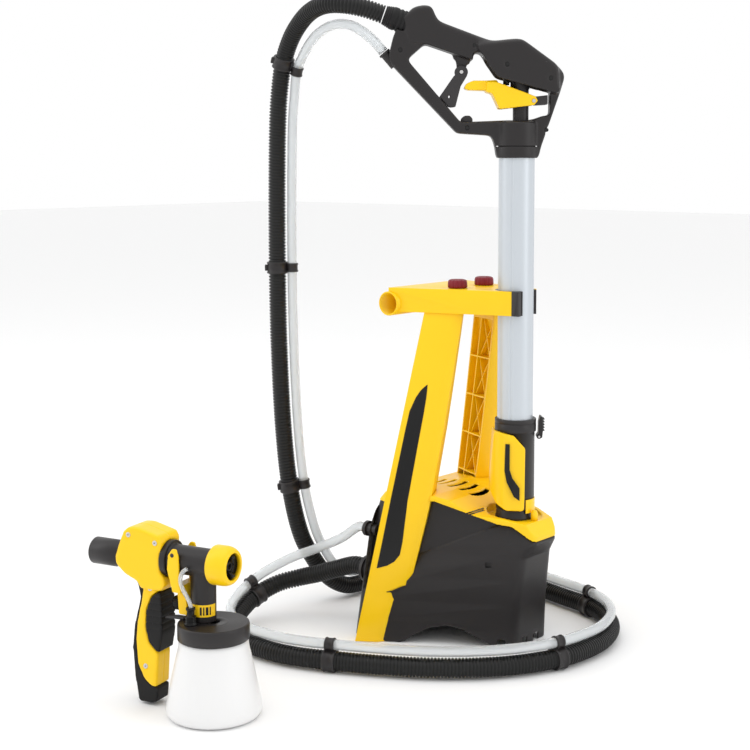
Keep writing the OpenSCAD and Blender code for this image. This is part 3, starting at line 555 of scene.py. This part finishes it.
def make_cuffs():
    """The ribbed cuff at the handle, tapering to the hose."""
    ribs = [(10, 0), (15.6, 0), (16, 0.6)]
    for k in range(3):
        ribs += [(16, 4 + 6 * k), (15, 5 + 6 * k), (15, 6.5 + 6 * k), (16, 7.5 + 6 * k)]
    ribs += [(16, 24)]
    for k in range(4):
        z, r = 26 + 2.8 * k, 15.8 - 0.6 * k
        ribs += [(r, z), (r - 0.9, z + 0.8), (r - 0.9, z + 1.6), (r - 0.4, z + 2)]
    ribs += [(13.3, 37), (10, 37)]
    cuff = LANCE @ Matrix.Translation((0.150, 0, 0.868)) @ Matrix.Rotation(radians(70), 4, "Y")
    piece_from("hose_cuff_ribbed", lathe(ribs, 48, loop=True), "black_rubber", "root", cuff,
               replaces=["hose_cuff"])


# ---------------------------------------------------------------- base unit
# Heights in millimetres: each crease is at start + slope * x
LOW_CREASE = (128, 0.375)
HIGH_CREASE = (167, 0.477)
CREASE_TOP = 176
SHOULDER_DEPTH = 12
SHOULDER_STEP = 2.4
SHOULDER_BACK_X = -175
NOSE_HALF_WIDTH = 0.024


def base_wall_shape(co, normal):
    """Bends the housing's wall in above two creases that climb to the nose, as a moulded shoulder."""
    x, z = co.x / MM, co.z / MM
    low = LOW_CREASE[0] + LOW_CREASE[1] * x
    high = min(HIGH_CREASE[0] + HIGH_CREASE[1] * x, CREASE_TOP)
    t = min(1, max(0, (z - low) / max(8, high - low)))
    inward = SHOULDER_DEPTH * t + (SHOULDER_STEP if z > high + 1.5 else 0)
    if abs(co.y) > NOSE_HALF_WIDTH and x > SHOULDER_BACK_X:
        side = 1 if co.y > 0 else -1
        lean = Vector((-0.35, -side * 0.93, 0))
        return co + lean * inward * MM
    return co


def leg_body(side, extra, face, bottom, top):
    """The solid that a side frame takes up in the housing, from its outer face inwards."""
    bm = bmesh.new()
    rings = []
    for z, w in LEG_WIDTHS:
        if z > top:
            break
        deep = leg_depth(z) + extra
        z = max(z, bottom)
        section = ((-extra, face), (w - 12, face), (w - 11.9, -extra), (w + extra, 6), (w + extra, deep),
                   (-extra, deep))
        rings.append([bm.verts.new(in_leg(z, s, d, side)) for s, d in section])
    ring_faces(bm, rings)
    bm.faces.new(rings[0])
    bm.faces.new(rings[-1])
    bmesh.ops.recalc_face_normals(bm, faces=bm.faces)
    return bm


def make_base():
    cutters = []
    for x, z in ((-82, 92), (-4, 117)):
        y = -55.5 + 0.4333 * x
        for side in (1, -1):
            notch = prism(rounded([(-4, -4), (4, -3), (4, 4), (-4, 4)], 1), -1.5, 5)
            turn = Matrix.Translation((x * MM, side * y * MM, z * MM)) @ Matrix.Rotation(side * 0.409, 4, "Z")
            cutters.append(cutter_from(notch, turn))
    cutters += [cutter_from(leg_body(side, 0.4, -20, -8, 300)) for side in (1, -1)]
    fillers = [leg_body(side, 0, -0.1, 1, 160) for side in (1, -1)]
    moulded("housing_moulding", ["base_housing"], 1.6, 6, cutters, base_wall_shape, fillers=fillers)
    moulded("cover_moulding", ["top_cover"], 1.15, 3)
    peg = [(5, 0), (5, 9), (4.2, 12.5), (2.5, 14.6)]
    low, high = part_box("socket_peg")
    centre = (low + high) / 2
    piece_from("peg_moulding", lathe(peg, 28), "yellow_plastic", "root",
               Matrix.Translation((centre.x, centre.y, low.z)), replaces=["socket_peg"])


LEG_FOOT, LEG_HEAD = Vector((-164, -156)), Vector((-109, -69))
LEG_ANGLES = (33, 21)
PLATFORM_Z = 465
LEG_WIDTHS = ((-8, 44), (60, 46), (71, 40), (81, 61), (150, 63.4), (205, 64.7), (300, 62))
LEG_DEPTHS = ((0, 26), (150, 26), (205, 44), (465, 12))


def in_leg(z, s, d, side=1):
    """A point of a side frame: s along its face, d inwards, in millimetres. side -1 is the far frame."""
    t = z / PLATFORM_Z
    a = radians(LEG_ANGLES[0] * (1 - t) + LEG_ANGLES[1] * t)
    q = LEG_FOOT.lerp(LEG_HEAD, t) + Vector((cos(a), sin(a))) * s + Vector((-sin(a), cos(a))) * d
    return Vector((q.x, q.y * side, z)) * MM


def leg_depth(z):
    """How far a side frame reaches inwards from its face at a height."""
    for (z0, d0), (z1, d1) in zip(LEG_DEPTHS, LEG_DEPTHS[1:]):
        if z <= z1:
            return d0 + (d1 - d0) * (z - z0) / (z1 - z0)
    return LEG_DEPTHS[-1][1]


def leg_strip(bm, path, thick, depth, side):
    """A thin rib standing on the inside of a frame, along (z, s) points."""
    rings = []
    for z, s in path:
        deep = leg_depth(z) + depth[1]
        rings.append([bm.verts.new(in_leg(z, s + e * thick / 2, d, side))
                      for e, d in ((-1, depth[0]), (1, depth[0]), (1, deep), (-1, deep))])
    ring_faces(bm, rings)
    bm.faces.new(rings[0])
    bm.faces.new(rings[-1])


def make_frames():
    crisp("near_frame_moulding", "side_frame_near", 1.6)
    crisp("far_frame_moulding", "side_frame_far", 1.6)
    crisp("platform_moulding", "platform", 1.6)
    bays, low, high = 6, 96, 450
    bay = (high - low) / bays
    for name, side in (("near_frame_ribs", 1), ("far_frame_ribs", -1)):
        bm = bmesh.new()
        leg_strip(bm, [(z, 22) for z in (low, 150, 205, 330, high)], 2.2, (2.5, 0), side)
        for k in range(bays):
            z = low + k * bay
            leg_strip(bm, [(z, 24), (z + bay - 3, 52)], 1.6, (7, -3), side)
            leg_strip(bm, [(z, 52), (z + bay - 3, 24)], 1.6, (7, -3), side)
        piece_from(name, bm, "yellow_plastic", "root", smooth=False)
    tube = [(15.25, 0), (16.6, 0), (17.3, 0.7), (17.3, 177.3), (16.6, 178), (15.25, 178)]
    low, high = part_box("carry_tube")
    middle = (low + high) / 2
    lie = Matrix.Translation((middle.x, low.y, middle.z)) @ Matrix.Rotation(-pi / 2, 4, "X")
    piece_from("carry_tube_moulding", lathe(tube, 72, loop=True), "yellow_plastic", "root", lie,
               replaces=["carry_tube"])


def make_knobs():
    for node in ("air_knob", "paint_knob"):
        low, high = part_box(node)
        centre = (low + high) / 2
        bm = bmesh.new()
        rings = []
        notches, segments = 14, 14 * 8
        for r, z in ((4, 491), (4, 499.3), (12.6, 499.3), (13.6, 500), (14, 501.5), (13.6, 508), (12.6, 510.4),
                     (10.5, 511.3), (9.8, 510.7), (1, 510.7)):
            ring = []
            for k in range(segments):
                a = 2 * pi * k / segments
                wave = 1 if r < 12 else 1 - 0.055 * max(0, cos(a * notches))
                ring.append(bm.verts.new((r * wave * MM * cos(a), r * wave * MM * sin(a), z * MM)))
            rings.append(ring)
        ring_faces(bm, rings)
        bm.faces.new(rings[0])
        bm.faces.new(rings[-1])
        pointer = prism([(4, 510.6), (9, 510.6), (9, 511.5), (4, 511.5)], -0.9, 0.9)
        add_to(bm, pointer)
        place = Matrix.Translation((centre.x, centre.y, 0))
        piece_from(node + "_fluted", bm, "red_knob", BODY_OF[node], place, replaces=[node])


# ---------------------------------------------------------------- lance
def handle_roundness(co):
    """The head and the grip are rounded all over; the guard loop and the collar keep firmer edges."""
    local = LANCE.inverted() @ co
    u, z = local.x / MM, local.z / MM
    above = z - (778 + 0.36 * (u + 55))
    return min(1.0, max(0.22, 0.22 + above / 12))


def handle_seam(co, normal):
    """Presses in the fine seam between the two halves of the handle."""
    local = LANCE.inverted() @ co
    if abs(local.y) < 0.0009 and local.z > 0.7:
        return co - normal * 0.5 * MM
    return co


def make_handle():
    def collar_groove():
        ring = [(26, 699), (32, 699), (32, 700.2), (26, 700.2)]
        return cutter_from(lathe(ring, 64, loop=True), LANCE)
    moulded("handle_moulding", ["handle_near", "handle_far"], 1.25, 8, [collar_groove()], handle_seam,
            melt=handle_roundness, melt_passes=220)
    moulded("neck_moulding", ["handle_neck"], 1.1, 2)
    moulded("bracket_moulding", ["pivot_bracket"], 0.8, 3)
    moulded("lance_trigger_moulding", ["lance_trigger"], 1.0, 5)
    moulded("lock_lever_moulding", ["lock_lever"], 0.8, 4)
    bm = bmesh.new()
    for x, r, low in ((15.4, 4.4, 784), (4.4, 5.2, 780), (-12, 5.0, 778)):
        add_to(bm, lathe([(r - 0.6, low), (r, low + 0.6), (r, 800)], 32), at(LANCE, x, 0, 0))
    piece_from("valve_studs", bm, "gloss_black", "root")
    bm = bmesh.new()
    hook = rounded([(62, 730), (62, 738), (66, 742), (73, 742), (78, 738), (79, 731)], 2)
    prism(hook, -4, 4, 0.8, bm)
    piece_from("guard_hook", bm, "charcoal_plastic", "root", LANCE)


def make_lower_housing():
    profile = [(20, 190), (26.4, 190), (27, 190.8), (27, 299.4), (28.6, 300), (29, 300.8), (29, 311), (28.4, 311.4),
               (28.4, 312.2), (29, 312.6), (29, 317.2), (28.2, 318), (25.05, 318), (25.05, 300), (22, 290)]
    piece_from("lower_housing_moulding", lathe(profile, 72, loop=True), "charcoal_plastic", "root",
               LANCE @ Matrix.Translation((-0.0008, 0, 0)), replaces=["lower_housing"])
    moulded("lower_cover_moulding", ["lower_cover"], 1.1, 4)
    moulded("latch_moulding", ["latch"], 0.7, 3)
    bm = bmesh.new()
    for k in range(5):
        z = 300 + 4 * k
        bar = rounded([(-41.2, z), (-38, z), (-38, z + 2.2), (-41.2, z + 1.6)], 0.4)
        prism(bar, -7, 7, 0.4, bm)
    piece_from("latch_serrations", bm, "grey_plastic", "latch", LANCE)
    bm = bmesh.new()
    sides = 18
    rings = []
    for z in (186, 205):
        ring = [(cos(a) * r, sin(a) * r, z) for r, angles in ((27.9, range(sides)), (27.0, range(sides - 1, -1, -1)))
                for a in (radians(118 + 62 * k / (sides - 1)) for k in angles)]
        rings.append([bm.verts.new((x * MM - 0.0008, y * MM, z * MM)) for x, y, z in ring])
    ring_faces(bm, rings)
    bm.faces.new(rings[0])
    bm.faces.new(rings[-1])
    piece_from("lower_plate", bm, "yellow_plastic", "root", LANCE, smooth=False)
    ring = [(20, 176), (26.3, 176), (27, 176.8), (27, 179.5), (26, 181), (25.6, 189), (24.8, 190), (20, 190)]
    piece_from("socket_ring_moulding", lathe(ring, 72, loop=True), "charcoal_plastic", "root",
               replaces=["socket_ring"])


def make_lance_tube():
    """The aluminium tube, with a shallow groove each quarter turn, and the clip that holds it."""
    bm = bmesh.new()
    segments = 144
    rings = []
    grooves = [radians(g) for g in (20, 110, 200, 290)]
    for r, z in ((23, 300), (25, 300), (25, 300.4), (25, 699.6), (25, 700), (23, 700)):
        ring = []
        for k in range(segments):
            a = 2 * pi * k / segments
            near = min(abs((a - g + pi) % (2 * pi) - pi) for g in grooves)
            dip = 1.1 * max(0, 1 - near / 0.07) if r > 24 else 0
            ring.append(bm.verts.new(((r - dip) * MM * cos(a), (r - dip) * MM * sin(a), z * MM)))
        rings.append(ring)
    ring_faces(bm, rings + [rings[0]])
    piece_from("lance_tube_drawn", bm, "aluminium", "root", replaces=["lance_tube"])
    crisp("pole_clip_moulding", "pole_clip", 1.0)


# ---------------------------------------------------------------- spray gun
def groove_grip(co, normal):
    """Finger grooves across the upper front of the soft grip, pressed also into its sides."""
    local = GUN.inverted() @ co
    a, w, z = local.x / MM, local.y / MM, local.z / MM
    if 96 < z < 146:
        depth = 1.1 * max(0, sin((z - 96) * 2 * pi / 8.3)) * min(1, (z - 96) / 6, (146 - z) / 6)
        local.x -= depth * MM * (1 if a > -80 else 0)
        local.y -= depth * MM * 0.8 * (1 if w > 12 else -1 if w < -12 else 0)
    return GUN @ local


def gun_seam(co, normal):
    """Presses in the fine seam between the two halves of the gun."""
    if abs((GUN.inverted() @ co).y) < 0.0008:
        return co - normal * 0.45 * MM
    return co


def make_gun():
    moulded("gun_moulding", ["gun_shell_near", "gun_shell_far"], 1.0, 60, reshape=gun_seam)
    moulded("grip_insert_soft", ["grip_insert"], 0.9, 40, reshape=groove_grip)
    moulded("backstrap_soft", ["grip_backstrap"], 1.0, 18)
    moulded("gun_barrel_moulding", ["gun_barrel"], 0.9, 4)
    moulded("gun_trigger_moulding", ["gun_trigger"], 0.8, 5)
    inlet = [(14.5, -38), (16, -38), (16.95, -37), (16.95, -2), (16.2, 0), (16.2, 26), (10, 26), (10, 0), (14.5, 0)]
    piece_from("gun_inlet_moulding", lathe(inlet, 64, loop=True), "charcoal_plastic", "gun",
               lying_along_x(GUN, -140, 0, 184), replaces=["gun_inlet"])
    nut = [(15.05, 2.4), (22.8, 2.4), (24, 3.4), (24.5, 5), (24.5, 18), (24, 22), (22.8, 25.8), (21, 28.6),
           (19, 29.8), (17.2, 30), (16.5, 29.3), (16.5, 24), (18.3, 24), (18.3, 13), (15.05, 13)]
    piece_from("ring_nut_moulding", lathe(nut, 72, loop=True), "yellow_plastic", "ring_nut",
               lying_along_x(GUN, 0, 0, 188), replaces=["ring_nut"])
    make_air_cap()
    make_cup()
    make_gun_fittings()


def make_air_cap():
    dish = [(14, 14), (17.9, 14), (17.9, 23.6), (16, 24), (15.2, 24.8), (11, 22.2), (7, 22), (5.6, 24.4), (4, 24.6),
            (3.2, 22.6), (4, 20.6), (14, 20.6)]
    bm = lathe(dish, 56, loop=True)
    for side in (1, -1):
        horn = rounded([(22, side * 15.2), (30, side * 13), (30.4, side * 10.4), (24, side * 6.2),
                        (22, side * 6.2)], 1)
        add_to(bm, prism(horn, -3.6, 3.6, 0.7), Matrix.Rotation(-pi / 2, 4, "Y"))
    for k in range(6):
        rib = prism([(5.4, 22), (11, 22), (11, 22.9), (5.4, 23.8)], -0.5, 0.5)
        add_to(bm, rib, Matrix.Rotation(k * pi / 3 + pi / 6, 4, "Z"))
    piece_from("air_cap_horned", bm, "gloss_black", "air_cap", lying_along_x(GUN, 0, 0, 188),
               replaces=["air_cap"])


def make_cup():
    wall = [(0.5, 2.4), (0.5, 1.4), (40, 1.4), (44, 0.2), (51, 0.2), (55.5, 1.6), (58.2, 4.8), (59, 8.5), (58.4, 16),
            (57, 24), (54.6, 36), (51.6, 50), (48.6, 64), (46.2, 75), (44.4, 82), (43.3, 88), (43, 95.6), (41, 95.6),
            (41.3, 88), (42.4, 82), (44.2, 75), (49.6, 50), (55, 24), (56.4, 16), (57, 8.5), (55.8, 5), (52, 2.6)]
    piece_from("cup_blown", lathe(wall, 112, loop=True), "cup_white", "cup", GUN, replaces=["cup"])
    lid = [(40.3, 96), (43.6, 96), (44.5, 96.8), (44.5, 113), (44, 115), (42.6, 116)]
    for k in range(9):
        r = 41 - 2.6 * k
        lid += [(r, 116), (r - 0.9, 115.75), (r - 1.6, 116)]
    lid += [(8, 116), (8, 112), (40.3, 112)]
    bm = lathe(lid, 96, loop=True)
    piece_from("cup_lid_moulding", bm, "charcoal_plastic", "gun", GUN, replaces=["cup_lid"])


def make_gun_fittings():
    valve = [(0.5, 115), (8, 115), (8, 118), (7, 119)]
    for k in range(4):
        z = 119.5 + 1.8 * k
        valve += [(7, z), (6.3, z + 0.5), (6.3, z + 1), (7, z + 1.4)]
    valve += [(7, 127), (4.6, 127.4), (4.6, 134.5), (3.9, 135.2), (0.5, 135.2)]
    piece_from("check_valve", lathe(valve, 32), "gloss_black", "gun", at(GUN, -18, -23, 0))
    clamp = [(5.3, 134.4), (5.9, 134.8), (5.9, 137.2), (5.3, 137.6), (3.2, 137.6), (3.2, 134.4)]
    piece_from("valve_clamp", lathe(clamp, 32, loop=True), "gloss_black", "gun", at(GUN, -18, -23, 0))
    bm = bmesh.new()
    rings = []
    for r, x in ((1, -56), (7.6, -56), (8.6, -55.2), (9, -54), (9, -48), (8.4, -46.8), (2.9, -46.5), (2.9, -31)):
        ring = []
        for k in range(96):
            a = 2 * pi * k / 96
            wave = 1 - (0.05 * max(0, cos(a * 12)) if r > 8 else 0)
            ring.append(bm.verts.new((x * MM, r * wave * MM * cos(a), r * wave * MM * sin(a))))
        rings.append(ring)
    ring_faces(bm, rings)
    bm.faces.new(rings[0])
    bm.faces.new(rings[-1])
    piece_from("flow_knob_fluted", bm, "gloss_black", BODY_OF["flow_knob"], at(GUN, 0, 0, 133),
               replaces=["flow_knob"])
    # label band with plain bars round the neck
    band = bmesh.new()
    bars = bmesh.new()
    for bm, spans, r, low, high in ((band, [(-150, 5)], 15.75, 124, 139),
                                    (bars, [(-75, -66), (-60, -54), (-48, -36), (-30, -24)], 15.9, 126.5, 136.5)):
        for start, end in spans:
            steps = max(4, int((end - start) / 6))
            rings = []
            for k in range(steps + 1):
                a = radians(start + (end - start) * k / steps)
                rings.append([bm.verts.new(((q * cos(a) - 14) * MM, q * sin(a) * MM, z * MM))
                              for q, z in ((15.2, low), (r, low), (r, high), (15.2, high))])
            ring_faces(bm, rings)
            bm.faces.new(rings[0])
            bm.faces.new(rings[-1])
    piece_from("neck_band", band, "yellow_plastic", "gun", GUN, smooth=False)
    piece_from("neck_bars", bars, "gloss_black", "gun", GUN, smooth=False)
    side_view = [(-64, 117), (-48, 119.6), (-36, 119.6), (-36, 116), (-48, 115.6), (-64, 114.4)]
    lever = prism(rounded(side_view, 1), -12, -5, 0.6)
    piece_from("lid_lever", lever, "grey_plastic", "gun", GUN)
    bm = bmesh.new()
    for a, z, w in ((-112, 216, 21), (-72, 210, 21), (-84, 150, 15), (-92, 50, 15)):
        head = [(0.6, 0.8), (0.6, 0.2), (1.2, 0.2), (1.6, 0.9), (3.0, 0.7), (3.4, 0.1), (3.4, -2), (0.6, -2)]
        add_to(bm, lathe(head, 24, loop=True), facing_near(GUN, a, -w + 0.3, z, -1))
    piece_from("shell_screws", bm, "steel", "gun", replaces=["gun_screws"])
    bm = bmesh.new()
    for side in (1, -1):
        head = [(0.5, 0.5), (1.8, 0.6), (2.6, 0.2), (2.6, -3)]
        add_to(bm, lathe(head, 24), facing_near(GUN, -46, side * 21.5, 198, side))
    piece_from("trigger_pin_heads", bm, "grey_plastic", "gun_trigger")
    route = [(-24, -21, 184), (-27, -22, 182), (-31, -23, 177), (-32, -24, 168), (-28, -24, 158), (-22, -23, 148),
             (-18, -23, 140), (-18, -23, 134)]
    path = smooth_path(route, 0.0012)
    bm = hollow_tube(path, 0.0026, 0.0017, 16)
    piece_from("pressure_tube_clear", bm, "clear_tube", "gun", GUN, replaces=["pressure_tube"])


# ---------------------------------------------------------------- what stays as the CAD made it
def finish_cad_nodes():
    for node, piece in frame["nodes"].items():
        piece.data.materials.clear()
        piece.data.materials.append(materials[SLOT_OF[node]])


make_camera()
materials = make_materials()
make_clips()
make_air_hose()
make_paint_tube()
make_cuffs()
make_base()
make_frames()
make_knobs()
make_handle()
make_lower_housing()
make_lance_tube()
make_gun()
finish_cad_nodes()
make_stage()
